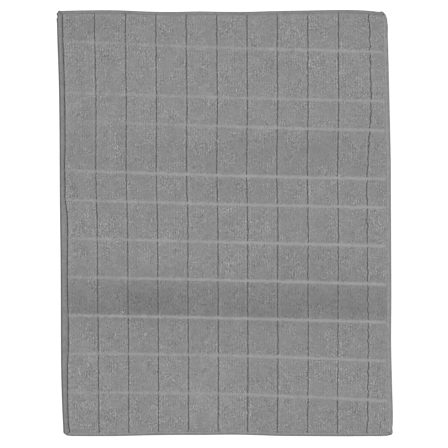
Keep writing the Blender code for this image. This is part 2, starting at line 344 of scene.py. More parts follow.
def rounded(across, down):
    """Moves places on the sharp-cornered rectangle to the one with round corners.
    Each square ring about a corner's centre becomes a round one of the same radius."""
    for (end, side), radius in CORNER_RADII.items():
        in_side = WIDTH - across if side == "right" else across
        in_end = LENGTH - down if end == "foot" else down
        a, b = radius - in_side, radius - in_end
        inside = np.minimum(a, b) > 0
        ring = np.where(inside, np.maximum(a, b), 1)
        turn = pi / 4 * np.minimum(a, b) / ring
        long, short = ring * np.cos(turn), ring * np.sin(turn)
        new_side = radius - np.where(a >= b, long, short)
        new_end = radius - np.where(a >= b, short, long)
        new_across = WIDTH - new_side if side == "right" else new_side
        new_down = LENGTH - new_end if end == "foot" else new_end
        across = np.where(inside, new_across, across)
        down = np.where(inside, new_down, down)
    return across, down


def laid(across, down):
    """Where places on the cut rectangle lie, before the mat is centred."""
    across, down = rounded(across, down)
    x = across - WIDTH / 2 + SKEW * (down / LENGTH - 0.5)
    x = x + smooth(SIDE_WANDER, "left", down) * near_edge(across)
    x = x + smooth(SIDE_WANDER, "right", down) * near_edge(WIDTH - across)
    y = LENGTH / 2 - down
    y = y + smooth(END_WANDER, "head", across) * near_edge(down)
    y = y + smooth(END_WANDER, "foot", across) * near_edge(LENGTH - down)
    return x, y


def outline_middle():
    """The middle of the bounding box of the mat's outline."""
    along, over = np.linspace(0, LENGTH, 901), np.linspace(0, WIDTH, 701)
    sides = [
        laid(np.zeros_like(along), along),
        laid(np.full_like(along, WIDTH), along),
        laid(over, np.zeros_like(over)),
        laid(over, np.full_like(over, LENGTH)),
    ]
    xs = np.concatenate([x for x, _ in sides])
    ys = np.concatenate([y for _, y in sides])
    return (xs.min() + xs.max()) / 2, (ys.min() + ys.max()) / 2


MIDDLE = outline_middle()


def lay(across, down):
    """Where places of the mat lie in the world."""
    x, y = laid(across, down)
    for pull in PULLS:
        far = np.hypot(across / MM - pull.across, down / MM - pull.down)
        bell = np.exp(-((far / pull.reach) ** 2)) * MM
        x, y = x + pull.right * bell, y + pull.up * bell
    return x - MIDDLE[0], y - MIDDLE[1]


# ---------------------------------------------------------------- nodes and materials


def add_node(tree, kind, sockets=None, **settings):
    """A node with its settings made, and its sockets set or linked."""
    made = tree.nodes.new(kind)
    for name, value in settings.items():
        setattr(made, name, value)
    for socket, value in (sockets or {}).items():
        if isinstance(value, bpy.types.NodeSocket):
            tree.links.new(value, made.inputs[socket])
        else:
            made.inputs[socket].default_value = value
    return made


def new_material(name, colour, **sockets):
    """A material and its node tree. Sockets that are the same all over are set on the
    shader itself."""
    material = bpy.data.materials.new(name)
    material.use_nodes = True
    material.diffuse_color = (*colour, 1)
    shader = material.node_tree.nodes["Principled BSDF"]
    shader.inputs["Metallic"].default_value = 0
    for socket, value in sockets.items():
        shader.inputs[socket.replace("_", " ")].default_value = value
    return material, material.node_tree


def object_place(tree):
    return add_node(tree, "ShaderNodeTexCoord").outputs["Object"]


def stretched(tree, place, scale):
    """The place scaled along each axis, so that a pattern grows longer along a small one."""
    return add_node(tree, "ShaderNodeMapping", {"Vector": place, "Scale": scale}).outputs[0]


def grain(tree, place, size, detail=2.0, roughness=0.5):
    """Soft noise whose lumps are about `size` across, from 0 to 1."""
    sockets = {"Vector": place, "Scale": 1 / size, "Detail": detail, "Roughness": roughness}
    return add_node(tree, "ShaderNodeTexNoise", sockets).outputs[0]


def waves(tree, place, scale, distortion, direction="X", detail_scale=1.0):
    """Soft rows, from 0 to 1. Their scale is WAVE_OF_ONE over the length of one."""
    sockets = {
        "Vector": place, "Scale": scale, "Distortion": distortion, "Detail": 1.0,
        "Detail Scale": detail_scale,
    }
    made = add_node(tree, "ShaderNodeTexWave", sockets, bands_direction=direction)
    return made.outputs["Fac"]


def marked(tree, name, output="Fac"):
    """What the mesh's own attribute says."""
    return add_node(tree, "ShaderNodeAttribute", attribute_name=name).outputs[output]


def ranged(tree, value, low, high, from_low=0.0, from_high=1.0):
    """A value that runs from low to high as the given one does from from_low on."""
    sockets = {"Value": value, 1: from_low, 2: from_high, 3: low, 4: high}
    return add_node(tree, "ShaderNodeMapRange", sockets).outputs[0]


def spread(tree, value, low, high):
    """Noise spread from low to high. Nearly all of it lies from 0.3 to 0.7."""
    return ranged(tree, value, low, high, 0.3, 0.7)


def worked(tree, operation, *values):
    """The result of one step of arithmetic."""
    sockets = dict(enumerate(values))
    return add_node(tree, "ShaderNodeMath", sockets, operation=operation).outputs[0]


def product(tree, *values):
    result = values[0]
    for value in values[1:]:
        result = worked(tree, "MULTIPLY", result, value)
    return result


def link_colour(tree, colour, amount):
    """Gives the shader a colour, made lighter or darker by the amount."""
    sockets = {0: colour, "Scale": amount}
    scaled = add_node(tree, "ShaderNodeVectorMath", sockets, operation="SCALE")
    tree.links.new(scaled.outputs[0], tree.nodes["Principled BSDF"].inputs["Base Color"])


def link_surface(tree, roughness, relief, strength, distance):
    """Gives the shader its roughness and the small relief of its threads."""
    shader = tree.nodes["Principled BSDF"]
    sockets = {"Height": relief, "Strength": strength, "Distance": distance}
    bump = add_node(tree, "ShaderNodeBump", sockets)
    tree.links.new(roughness, shader.inputs["Roughness"])
    tree.links.new(bump.outputs[0], shader.inputs["Normal"])


# How light the terry is down the mat, where its nap is brushed one way or the other.
TONES = table("down tone", [
    (0, 0.98), (20, 1.00), (70, 1.03), (112, 1.045), (128, 1.00), (140, 0.96), (172, 0.96),
    (190, 1.00), (235, 1.01), (262, 1.01), (278, 0.98), (288, 0.87), (302, 0.76),
    (315, 0.70), (322, 0.72), (327, 0.90), (345, 0.98), (372, 1.02), (400, 1.02),
    (430, 1.00), (450, 0.98),
])
TONE_RANGE = 1.1  # the tone that the ramp's white stands for

# Where the nap is brushed another way: middle, reach either way in mm, and tone.
BLOTCHES = table("x y wide long tone", [
    (-80, -84, 54, 28, 0.78),
    (-20, -182, 66, 52, 1.13),
    (60, 76, 110, 30, 0.93),
    (10, 37, 58, 22, 0.92),
    (-140, 206, 62, 34, 0.89),
    (85, -40, 82, 26, 0.89),
    (166, -84, 36, 30, 1.16),
    (92, 34, 45, 22, 1.05),
    (-60, -40, 45, 24, 1.05),
    (35, -184, 36, 52, 0.95),
])


def nap_tone(tree, place):
    """The tone of the nap: its rows down the mat, and its soft blotches."""
    down = add_node(tree, "ShaderNodeSeparateXYZ", {0: place}).outputs["Y"]
    share = ranged(tree, down, 1.0, 0.0, -LENGTH / 2, LENGTH / 2)
    ramp = add_node(tree, "ShaderNodeValToRGB", {0: share})
    ramp.color_ramp.interpolation = "B_SPLINE"
    stops = ramp.color_ramp.elements
    while len(stops) < len(TONES):
        stops.new(0.5)
    for stop, row in zip(stops, TONES):
        stop.position = row.down * MM / LENGTH
    for stop, row in zip(stops, TONES):
        stop.color = (*[row.tone / TONE_RANGE] * 3, 1)
    rows = ranged(tree, ramp.outputs[0], 0.0, TONE_RANGE)
    cloudy = spread(tree, grain(tree, place, CLOUD_SIZE), 0.955, 1.045)
    tone = product(tree, rows, cloudy)
    for blotch in BLOTCHES:
        sockets = {0: place, 1: (blotch.x * MM, blotch.y * MM, 0)}
        moved = add_node(tree, "ShaderNodeVectorMath", sockets, operation="SUBTRACT").outputs[0]
        reach = (1 / (blotch.wide * MM), 1 / (blotch.long * MM), 0)
        sockets = {0: stretched(tree, moved, reach)}
        ball = add_node(tree, "ShaderNodeTexGradient", sockets, gradient_type="SPHERICAL")
        sockets = {"Value": ball.outputs["Fac"], 3: 1.0, 4: blotch.tone}
        share = add_node(tree, "ShaderNodeMapRange", sockets, interpolation_type="SMOOTHSTEP")
        tone = product(tree, tone, share.outputs[0])
    return tone


TERRY_COLOUR = (0.262, 0.262, 0.262)
PILE_WALE = 2.6 * MM  # from one lengthwise row of the knit to the next, as the pile shows it
WAVE_OF_ONE = 2 * pi / 20  # the Wave texture's scale for waves of length 1
GROUND_WALE_SCALE = 1 / (3.2 * MM)  # rows 1.0 mm apart
TWILL_SCALE = 1 / (4.0 * MM)  # rows 1.3 mm apart
TUFT_LIGHTNESS = 1.40  # tufts shade one another, so each is lighter than the cloth looks
TUFT_SHADES = (0.70, 1.30)  # what a tuft's shades 0 and 1 make of its colour
EDGE_PAINTED_LIGHT = 0.22  # painted light: how much lighter the tufts at the pile's edges are made, on the scale of shade
ROOT_PAINTED_SHADE = 0.84  # painted shade on the ground cloth among the roots of the pile, against where it is bare
BAND_LIGHTNESS = 1.15  # the ground cloth where it is bare, against the cloth as a whole
CREASE_PAINTED_SHADES = (0.10, 0.50)  # painted shade in a groove's crease, at its darkest and its lightest
TAPE_COLOUR = (0.205, 0.205, 0.205)
THREAD_COLOUR = (0.2, 0.2, 0.2)
LINT_COLOUR = (0.66, 0.66, 0.65)


def make_pile_cloth():
    """The tufts: fine fibre, each tuft a little lighter or darker than the next."""
    material, tree = new_material(
        "microfibre pile", TERRY_COLOUR, Sheen_Weight=0.25, Sheen_Roughness=0.5,
        Specular_IOR_Level=0.15,
    )
    place = object_place(tree)
    own = ranged(tree, marked(tree, "shade"), *TUFT_SHADES)
    amount = product(tree, nap_tone(tree, place), own, TUFT_LIGHTNESS)
    wales = waves(tree, place, WAVE_OF_ONE / PILE_WALE, 4.0, detail_scale=1.5)
    flecks = grain(tree, stretched(tree, place, (1, 0.65, 1)), 1.2 * MM, 0.0)
    fine = worked(
        tree, "ADD", ranged(tree, wales, -0.12, 0.12), spread(tree, flecks, -0.24, 0.24)
    )
    patches = grain(tree, place, PATCH_SIZE, 1.0)
    lively = ranged(tree, patches, *PATCH_GRAIN, *PATCH_NOISE)
    fine = worked(tree, "MULTIPLY_ADD", fine, lively, 1.0)
    fibres = grain(tree, stretched(tree, place, (1, 0.4, 1)), 0.16 * MM, 3.0, 0.65)
    amount = product(tree, amount, fine, spread(tree, fibres, 0.9, 1.1))
    link_colour(tree, TERRY_COLOUR, amount)
    link_surface(tree, spread(tree, fibres, 0.82, 1.0), fibres, 0.5, 0.15 * MM)
    return material


def make_ground_cloth():
    """The knitted ground that shows in the bands, the grooves and on the back."""
    material, tree = new_material(
        "microfibre ground", TERRY_COLOUR, Sheen_Weight=0.2, Sheen_Roughness=0.5,
        Specular_IOR_Level=0.15,
    )
    place = object_place(tree)
    ribs = grain(tree, stretched(tree, place, (1, 0.25, 1)), 1.1 * MM, 1.5)
    wales = waves(tree, place, GROUND_WALE_SCALE, 1.5)
    cloudy = grain(tree, place, CLOUD_SIZE)
    # Painted shade: darker in the grooves' creases and the left seam's valley, unevenly along
    # them, and among the roots of the pile.
    crease_shade_noise = grain(tree, place, 1.7 * MM, 0.0)
    pressed = ranged(tree, crease_shade_noise, *CREASE_PAINTED_SHADES, 0.35, 0.65)
    amount = product(
        tree, spread(tree, cloudy, 0.96, 1.04), spread(tree, ribs, 0.93, 1.07),
        ranged(tree, wales, 0.97, 1.03),
        ranged(tree, marked(tree, "crease"), BAND_LIGHTNESS, pressed),
        ranged(tree, marked(tree, "pile"), 1.0, ROOT_PAINTED_SHADE, 0.5, 1.0),
    )
    link_colour(tree, TERRY_COLOUR, amount)
    knit = product(tree, wales, ribs)
    link_surface(tree, spread(tree, ribs, 0.8, 0.98), knit, 0.5, 0.25 * MM)
    return material


def make_tape_cloth():
    """The woven tape. Its weave follows the tape: x is along it, y is round its fold."""
    material, tree = new_material(
        "woven tape", TAPE_COLOUR, Sheen_Weight=0.15, Sheen_Roughness=0.4,
        Specular_IOR_Level=0.25,
    )
    woven = marked(tree, "weave", "Vector")
    twill = waves(tree, woven, TWILL_SCALE, 0.6, "DIAGONAL")
    slubs = grain(tree, stretched(tree, woven, (0.3, 1, 1)), 0.5 * MM)
    mottle = grain(tree, object_place(tree), 9 * MM)
    rubs = grain(tree, stretched(tree, woven, (0.5, 1, 1)), 1.8 * MM)
    # The tone from the mesh carries the fold's painted shade and the seam's painted light.
    amount = product(
        tree, ranged(tree, twill, 0.96, 1.04), spread(tree, slubs, 0.93, 1.07),
        spread(tree, mottle, 0.94, 1.06), spread(tree, rubs, 0.86, 1.14),
        marked(tree, "tone"),
    )
    link_colour(tree, TAPE_COLOUR, amount)
    weave = product(tree, twill, slubs)
    link_surface(tree, spread(tree, slubs, 0.7, 0.9), weave, 0.5, 0.2 * MM)
    return material


def make_thread_cloth():
    """Polyester sewing thread, twisted."""
    material, tree = new_material(
        "sewing thread", THREAD_COLOUR, Sheen_Weight=0.1, Specular_IOR_Level=0.4,
    )
    twist = grain(tree, object_place(tree), 0.3 * MM)
    # The tone from the mesh is the seam's painted light.
    amount = product(tree, spread(tree, twist, 0.85, 1.15), marked(tree, "tone"))
    link_colour(tree, THREAD_COLOUR, amount)
    link_surface(tree, spread(tree, twist, 0.45, 0.65), twist, 0.4, 0.08 * MM)
    return material


def make_lint_cloth():
    material, tree = new_material("lint", LINT_COLOUR, Sheen_Weight=0.3)
    fluff = grain(tree, object_place(tree), 0.8 * MM)
    link_colour(tree, LINT_COLOUR, spread(tree, fluff, 0.85, 1.15))
    link_surface(tree, spread(tree, fluff, 0.7, 0.9), fluff, 0.3, 0.1 * MM)
    return material


# ---------------------------------------------------------------- pieces


def finished(name, bm, material):
    """The bmesh as an object at the origin, shaded smooth."""
    mesh = bpy.data.meshes.new(name)
    bm.to_mesh(mesh)
    bm.free()
    mesh.materials.append(material)
    mesh.shade_smooth()
    piece = bpy.data.objects.new(name, mesh)
    bpy.context.scene.collection.objects.link(piece)
    return piece


def crossings_of(bm, columns, rows):
    """Adds a grid sheet, and says which crossing (column, row) each vertex is. Rows run
    towards +Y and columns towards +X."""
    made = bmesh.ops.create_grid(bm, x_segments=columns - 1, y_segments=rows - 1, size=1)
    return {
        vert: (
            round((vert.co.x + 1) / 2 * (columns - 1)),
            round((vert.co.y + 1) / 2 * (rows - 1)),
        )
        for vert in made["verts"]
    }


# A line of the ground cloth's grid. start, middle and end are its places along it;
# wander and last say how much of the grooves' wander it takes, and drift how much of the
# left seam's; rise, pile, trim, crease and splay are as in the sections; dome is 0 at a
# tile's edge and 1 in its middle; clear is a band's three values or None; tile is the
# row of tiles that starts at or before it.
GridLine = namedtuple(
    "GridLine",
    "start middle end wander last drift rise pile trim crease splay dome clear tile",
    defaults=(0, 0, 0, 1, 1, 1, 0, 0, 0, None, 0),
)
PLACING = 6  # the fields of a GridLine that say where it runs


def border_lines(near, far, size):
    """The grid lines of the two borders along one direction, whose tapes are `near` at
    distance 0 and `far` at distance `size`."""
    first, last = [], []
    for lines, side, tile in ((first, near, 0), (last, far, len(BANDS))):
        for point in BORDER_SECTIONS[side]:
            if point.past_tape is None:
                inset = RIM_SHARE * TAPE_WIDTHS[side]
            else:
                inset = TAPE_WIDTHS[side] + point.past_tape * MM
            place = inset if side == near else size - inset
            drift = 1 if side == "left" and point.past_tape is not None else 0
            shape = point._asdict()
            shape.pop("past_tape")
            lines.append(GridLine(place, place, place, drift=drift, tile=tile, **shape))
    return first, last[::-1]


def with_tile_lines(lines, edges):
    """Adds evenly spaced lines between each line whose number is in edges and the next."""
    filled = []
    for k, line in enumerate(lines):
        filled.append(line)
        if k not in edges:
            continue
        after = lines[k + 1]
        count = round((after.middle - line.middle) / TILE_STEP)
        for step in range(1, count):
            share = step / count
            mixed = [a + (b - a) * share for a, b in zip(line[:PLACING], after[:PLACING])]
            dome = min(1.0, 4 * share * (1 - share) * TILE_FLATNESS)
            filled.append(GridLine(*mixed, dome=dome, tile=line.tile))
    return filled


def groove_lines():
    """The grid lines that run lengthwise, from left to right."""
    first, last = border_lines("left", "right", WIDTH)
    lines = list(first)
    edges = {len(lines) - 1}
    for k, groove in enumerate(GROOVES):
        start, end = groove.head * MM, groove.foot * MM
        alone = 1 if k == len(GROOVES) - 1 else 0
        for point in GROOVE_SECTION:
            places = [place + point.offset * MM for place in (start, (start + end) / 2, end)]
            line = GridLine(*places, wander=1, last=alone, pile=point.pile)
            lines.append(line._replace(crease=point.crease, splay=point.splay))
        edges.add(len(lines) - 1)
    return with_tile_lines(lines + last, edges)


def band_lines():
    """The grid lines that run across, from the head end to the foot end."""
    first, last = border_lines("head", "foot", LENGTH)
    lines = list(first)
    edges = {len(lines) - 1}
    for k, band in enumerate(BANDS):
        for point in BAND_SECTION:
            places = [place * MM + point.offset * MM for place in band[:3]]
            tile = k if point.offset < 0 else k + 1
            lines.append(GridLine(*places, pile=point.pile, clear=band[3:], tile=tile))
        edges.add(len(lines) - 1)
    return with_tile_lines(lines + last, edges)


def bowed(start, middle, end, share):
    """A value at a share of a line's length: straight from start to end, and bowed."""
    bow = middle - (start + end) / 2
    return start + (end - start) * share + 4 * bow * share * (1 - share)


def wobble(across, down):
    """Soft noise over the mat, about -0.5 to 0.5, quicker along than across."""
    wide, long = WOBBLE_SIZE
    spots = zip((across / wide).ravel(), (down / long).ravel())
    return np.array([noise.noise((a, d, 0)) for a, d in spots]).reshape(across.shape)


def ground_places(columns, rows):
    """Where the grid's lines cross, as (across, down), each an array [row, column]."""
    c = {name: field(columns, name)[None, :] for name in GridLine._fields[:PLACING]}
    r = {name: field(rows, name)[:, None] for name in GridLine._fields[:3]}
    across = (c["start"] + c["end"]) / 2 + 0 * r["start"]
    for _ in range(3):  # each direction's place depends on the other's
        down = bowed(r["start"], r["middle"], r["end"], across / WIDTH)
        across = bowed(c["start"], c["middle"], c["end"], down / LENGTH)
        across = across + smooth(GROOVE_WANDER, "all", down) * c["wander"]
        across = across + smooth(GROOVE_WANDER, "last", down) * c["last"]
        unsteady = WOBBLE_LEFT + WOBBLE_MORE * (across / WIDTH) ** 2 + WOBBLE_LAST * c["last"]
        across = across + unsteady * wobble(across, down) * c["wander"]
        across = across + smooth(SEAM_DRIFT, "left", down) * c["drift"]
    return across, down


def bare_shares(columns, rows, across):
    """How bare of pile the bands leave each crossing, from 0 to 1."""
    shares = np.zeros_like(across)
    for j, row in enumerate(rows):
        if row.clear is None:
            shares[j] = 1 - row.pile
        else:
            clear = np.clip(bowed(*row.clear, across[j] / WIDTH), 0, 1)
            in_groove = 1 - (1 - BAND_AT_GROOVE) * (field(columns, "crease") > 0)
            shares[j] = (1 - row.pile) * clear * in_groove
    return shares


def crossed_shares(rows, across):
    """How flat the bands press the grooves at each crossing, from 0 to 1."""
    shares = np.zeros_like(across)
    for j, row in enumerate(rows):
        if row.clear is not None:
            clear = bowed(*row.clear, across[j] / WIDTH)
            shares[j] = (1 - row.pile) * np.clip(CROSSING_COVER * clear, 0, 1)
    return shares


def crossed(columns, rows, name, how):
    """One field of the lines, brought together at their crossings."""
    return how(field(rows, name)[:, None], field(columns, name)[None, :])


def make_ground(material):
    """The pad's cloth: quilted on top, with a flat back and a pressed rim all round."""
    columns, rows = groove_lines(), band_lines()[::-1]
    across, down = ground_places(columns, rows)
    bare = bare_shares(columns, rows, across)
    pile = (1 - bare) * field(columns, "pile")[None, :]
    # The crease dents the cloth and marks it for painted shade; the tufts beside grooves and
    # seams are marked for painted light.
    crease = (1 - crossed_shares(rows, across)) * field(columns, "crease")[None, :]
    splay = (1 - bare) * crossed(columns, rows, "splay", np.maximum)
    trim = crossed(columns, rows, "trim", np.minimum)
    rise = crossed(columns, rows, "rise", np.multiply)
    dome = crossed(columns, rows, "dome", np.multiply)
    x, y = lay(across, down)
    top = RIM_TOP + rise * (GROUND_HEIGHT - RIM_TOP + pile * TILE_LIFT)
    top = top + dome * TILE_SWELL - crease * rise * CREASE_DEPTH
    base = RIM_BOTTOM * (1 - crossed(columns, rows, "rise", np.minimum))

    bm = bmesh.new()
    marks = {"pile": pile, "crease": crease, "trim": trim, "splay": splay}
    layers = {name: bm.verts.layers.float.new(name) for name in marks}
    tiles = bm.faces.layers.int.new("tile_row")
    crossings = crossings_of(bm, len(columns), len(rows))
    for vert, (i, j) in crossings.items():
        spot = Vector((x[j, i], y[j, i], 0))
        cockle = COCKLE * noise.noise(spot / COCKLE_SIZE) * rise[j, i]
        vert.co = (spot.x, spot.y, top[j, i] + cockle)
        for name, layer in layers.items():
            vert[layer] = marks[name][j, i]
    for face in bm.faces:
        face[tiles] = rows[max(crossings[vert][1] for vert in face.verts)].tile

    # The sheet is doubled. The copy stays above as the top, and the sheet itself goes
    # down as the back, whose flat middle becomes one face.
    back = list(bm.faces)
    bmesh.ops.extrude_face_region(bm, geom=back)
    for vert, (i, j) in crossings.items():
        vert.co.z = base[j, i]
        vert[layers["pile"]] = 0
        vert[layers["crease"]] = 0
    for face in back:
        face[tiles] = -1
    flat = [face for face in back if all(vert.co.z == 0 for vert in face.verts)]
    bmesh.ops.delete(bm, geom=flat, context="FACES")
    rim = [edge for edge in bm.edges if edge.is_boundary]
    bmesh.ops.holes_fill(bm, edges=rim, sides=0)
    bmesh.ops.recalc_face_normals(bm, faces=bm.faces)
    return finished("mat_cloth", bm, material)


def make_tuft(name, bend, twist, material, collection):
    """One tuft: three-sided, bellied, longer than wide, and bent over towards -Y."""
    bm = bmesh.new()
    belly = TUFT_HEIGHT / 2  # where the tuft is widest
    bmesh.ops.create_cone(
        bm, cap_ends=True, segments=3, radius1=TUFT_FOOT, radius2=TUFT_BELLY, depth=belly,
        matrix=Matrix.Translation((0, 0, belly / 2 - TUFT_SINK)),
    )
    top = max(bm.faces, key=lambda face: face.calc_center_median().z)
    bmesh.ops.translate(bm, verts=top.verts, vec=(0, -0.3 * bend, 0))
    bmesh.ops.rotate(bm, verts=top.verts, cent=(0, 0, 0), matrix=Matrix.Rotation(twist, 3, "Z"))
    grown = bmesh.ops.extrude_face_region(bm, geom=[top])["geom"]
    bmesh.ops.delete(bm, geom=[top], context="FACES_ONLY")
    tip = [item for item in grown if isinstance(item, bmesh.types.BMVert)]
    bmesh.ops.pointmerge(bm, verts=tip, merge_co=(0, -bend, TUFT_HEIGHT - TUFT_SINK))
    bmesh.ops.scale(bm, verts=bm.verts, vec=TUFT_SHAPE)
    bmesh.ops.recalc_face_normals(bm, faces=bm.faces)
    tuft = finished(name, bm, material)
    bpy.context.scene.collection.objects.unlink(tuft)
    collection.objects.link(tuft)
    return tuft


def of_mesh(tree, name, kind="FLOAT"):
    """In geometry nodes, what the mesh's own attribute says."""
    sockets = {"Name": name}
    return add_node(tree, "GeometryNodeInputNamedAttribute", sockets, data_type=kind).outputs[0]


def chance(tree, low, high, seed):
    """In geometry nodes, a number drawn for each point."""
    sockets = {2: low, 3: high, "Seed": seed}
    return add_node(tree, "FunctionNodeRandomValue", sockets).outputs[1]


def planting_nodes(tufts):
    """Geometry nodes that plant tufts on one row of tiles of the ground cloth. The tufts
    lean towards the foot end, with their neighbours in clumps and each a little its own
    way."""
    tree = bpy.data.node_groups.new("plant tufts", "GeometryNodeTree")
    tree.interface.new_socket("Cloth", in_out="INPUT", socket_type="NodeSocketGeometry")
    tree.interface.new_socket("Row", in_out="INPUT", socket_type="NodeSocketInt")
    tree.interface.new_socket("Pile", in_out="OUTPUT", socket_type="NodeSocketGeometry")
    given = add_node(tree, "NodeGroupInput").outputs

    # Where the tufts stand.
    here = add_node(
        tree, "FunctionNodeCompare", {2: of_mesh(tree, "tile_row", "INT"), 3: given["Row"]},
        data_type="INT", operation="EQUAL",
    )
    pile = of_mesh(tree, "pile")
    planted = add_node(
        tree, "GeometryNodeDistributePointsOnFaces",
        {
            "Mesh": given["Cloth"], "Selection": here.outputs[0], "Seed": given["Row"],
            "Distance Min": TUFT_SPACING, "Density Max": TUFT_DENSITY,
            "Density Factor": pile,
        },
        distribute_method="POISSON",
    )
    place = add_node(tree, "GeometryNodeInputPosition").outputs[0]

    # Which way each one leans and turns.
    sockets = {"Vector": place, "Scale": 1 / CLUMP_SIZE, "Detail": 1.0}
    clump = add_node(tree, "ShaderNodeTexNoise", sockets)
    sockets = {0: clump.outputs["Color"], 1: CLUMP_LEAN, 2: CLUMP_AIM}
    lean = add_node(tree, "ShaderNodeVectorMath", sockets, operation="MULTIPLY_ADD")
    sockets = {0: (-OWN_LEAN, -OWN_LEAN, 0), 1: (OWN_LEAN, OWN_LEAN, 0), "Seed": 3}
    own = add_node(tree, "FunctionNodeRandomValue", sockets, data_type="FLOAT_VECTOR")
    sockets = {0: lean.outputs[0], 1: own.outputs[0]}
    aim = add_node(tree, "ShaderNodeVectorMath", sockets, operation="ADD")
    sockets = {"Vector": aim.outputs[0]}
    aimed = add_node(tree, "FunctionNodeAlignRotationToVector", sockets, axis="Z")
    sockets = {"Axis": (0, 0, 1), "Angle": chance(tree, -TUFT_TURN, TUFT_TURN, 4)}
    spin = add_node(tree, "FunctionNodeAxisAngleToRotation", sockets)
    sockets = {0: aimed.outputs[0], 1: spin.outputs[0]}
    turned = add_node(tree, "FunctionNodeRotateRotation", sockets, rotation_space="LOCAL")

    # How big and how light it is.
    short = product(tree, ranged(tree, pile, THIN_PILE_SIZE, 1.0), of_mesh(tree, "trim"))
    size = product(tree, chance(tree, *TUFT_SIZES, 5), short)
    patches = grain(tree, place, PATCH_SIZE, 1.0)
    uneven = ranged(tree, patches, *PATCH_SHADES, *PATCH_NOISE)
    odd = product(tree, chance(tree, -OWN_SHADE, OWN_SHADE, 6), uneven)
    sockets = {0: place, 1: CLUMP_SHAPE}
    shaped = add_node(tree, "ShaderNodeVectorMath", sockets, operation="MULTIPLY").outputs[0]
    clumps = ranged(tree, grain(tree, shaped, CLUMP_SHADE_SIZE, 1.0), *CLUMP_SHADES)
    # Painted light: the tufts beside the grooves and beside the right and foot seams are made
    # lighter.
    clumps_and_painted_light = worked(tree, "MULTIPLY_ADD", of_mesh(tree, "splay"), EDGE_PAINTED_LIGHT, clumps)
    shaded = add_node(
        tree, "GeometryNodeStoreNamedAttribute",
        {
            "Geometry": planted.outputs["Points"], "Name": "shade",
            "Value": worked(tree, "ADD", clumps_and_painted_light, odd),
        },
        data_type="FLOAT", domain="POINT",
    )

    # Which kind of tuft it is.
    sockets = {"Collection": tufts, "Separate Children": True, "Reset Children": True}
    kinds = add_node(tree, "GeometryNodeCollectionInfo", sockets)
    sockets = {4: 0, 5: len(tufts.objects) - 1, "Seed": 7}
    choice = add_node(tree, "FunctionNodeRandomValue", sockets, data_type="INT")
    set_out = add_node(
        tree, "GeometryNodeInstanceOnPoints",
        {
            "Points": shaded.outputs[0], "Instance": kinds.outputs[0], "Pick Instance": True,
            "Instance Index": choice.outputs[2], "Rotation": turned.outputs[0],
            "Scale": size,
        },
    )
    real = add_node(tree, "GeometryNodeRealizeInstances", {"Geometry": set_out.outputs[0]})
    add_node(tree, "NodeGroupOutput", {0: real.outputs[0]})
    return tree


def spread_flat(mesh):
    """Gives a mesh a bake map: its plan view, stretched over the whole square."""
    places = np.empty(len(mesh.vertices) * 3, np.float32)
    mesh.vertices.foreach_get("co", places)
    places = places.reshape(-1, 3)[:, :2]
    low, high = places.min(0), places.max(0)
    corners = np.empty(len(mesh.loops), np.int32)
    mesh.loops.foreach_get("vertex_index", corners)
    plan = ((places - low) / (high - low))[corners]
    mesh.uv_layers.new(name="OFBake").uv.foreach_set("vector", plan.ravel())


def make_pile(ground, material):
    """The tufts, one piece for each row of tiles."""
    tufts = bpy.data.collections.new("tufts")
    for k, (bend, twist) in enumerate(TUFT_KINDS):
        make_tuft(f"tuft_{k}", bend * MM, twist, material, tufts)
    tree = planting_nodes(tufts)
    row_input = tree.interface.items_tree["Row"].identifier
    pieces = []
    for row in range(len(BANDS) + 1):
        piece = bpy.data.objects.new(f"pile_row_{row:02d}", ground.data)
        bpy.context.scene.collection.objects.link(piece)
        planting = piece.modifiers.new("planting", "NODES")
        planting.node_group = tree
        planting[row_input] = row
        grown = bpy.context.evaluated_depsgraph_get()
        mesh = bpy.data.meshes.new_from_object(
            piece.evaluated_get(grown), preserve_all_data_layers=True, depsgraph=grown
        )
        mesh.name = piece.name
        piece.modifiers.clear()
        piece.data = mesh
        spread_flat(mesh)
        pieces.append(piece)
    for tuft in list(tufts.objects):
        bpy.data.objects.remove(tuft, do_unlink=True)
    bpy.data.collections.remove(tufts)
    bpy.data.node_groups.remove(tree)
    return pieces


# Small unevenness of the tapes near the corners, on one tape each: mm along it, how far
# the place reaches either way, how far the edge stands out and how far it stands up.
PUCKERS = table("side along reach out up", [
    ("head", 1.6, 1.6, 0.7, 0.7),
    ("left", 5.9, 0.9, -1.1, -0.3),
    ("left", 2.8, 1.4, 0.3, 0.5),
    ("left", 9.5, 2.0, 0.35, 0.2),
    ("head", 344.4, 0.9, 0.9, 0.3),
    ("head", 346.6, 1.2, 0.8, 0.4),
    ("right", 4.2, 1.6, -0.5, 0.5),
    ("right", 16.0, 5.0, 0.5, 0.2),
    ("foot", 344.0, 1.6, 0.2, 0.4),
    ("right", 443.0, 2.0, -0.3, 0.3),
    ("foot", 9.0, 2.5, 0.2, 0.3),
    ("left", 440.0, 3.0, 0.1, 0.3),
])


def puckered(side, along):
    """How far a tape's edge stands out and up at places along it."""
    out, up = np.zeros_like(along), np.zeros_like(along)
    for pucker in PUCKERS:
        if pucker.side == side:
            bell = np.exp(-(((along / MM - pucker.along) / pucker.reach) ** 2))
            out = out + pucker.out * MM * bell
            up = up + pucker.up * MM * bell
    return out, up


def strayed(side, along):
    """How far in a tape's seam strays at places along it."""
    if side == "left":
        return smooth(SEAM_DRIFT, "left", along)
    return np.zeros_like(along)


def beside(side, inset, along):
    """Places in from one side of the cut rectangle and along it, as (across, down)."""
    return {
        "left": (inset, along),
        "right": (WIDTH - inset, along),
        "head": (along, inset),
        "foot": (along, LENGTH - inset),
    }[side]


# A point of a tape's section: how far in from the outline, how high, and how loose.
TapePoint = namedtuple("TapePoint", "inset height loose")


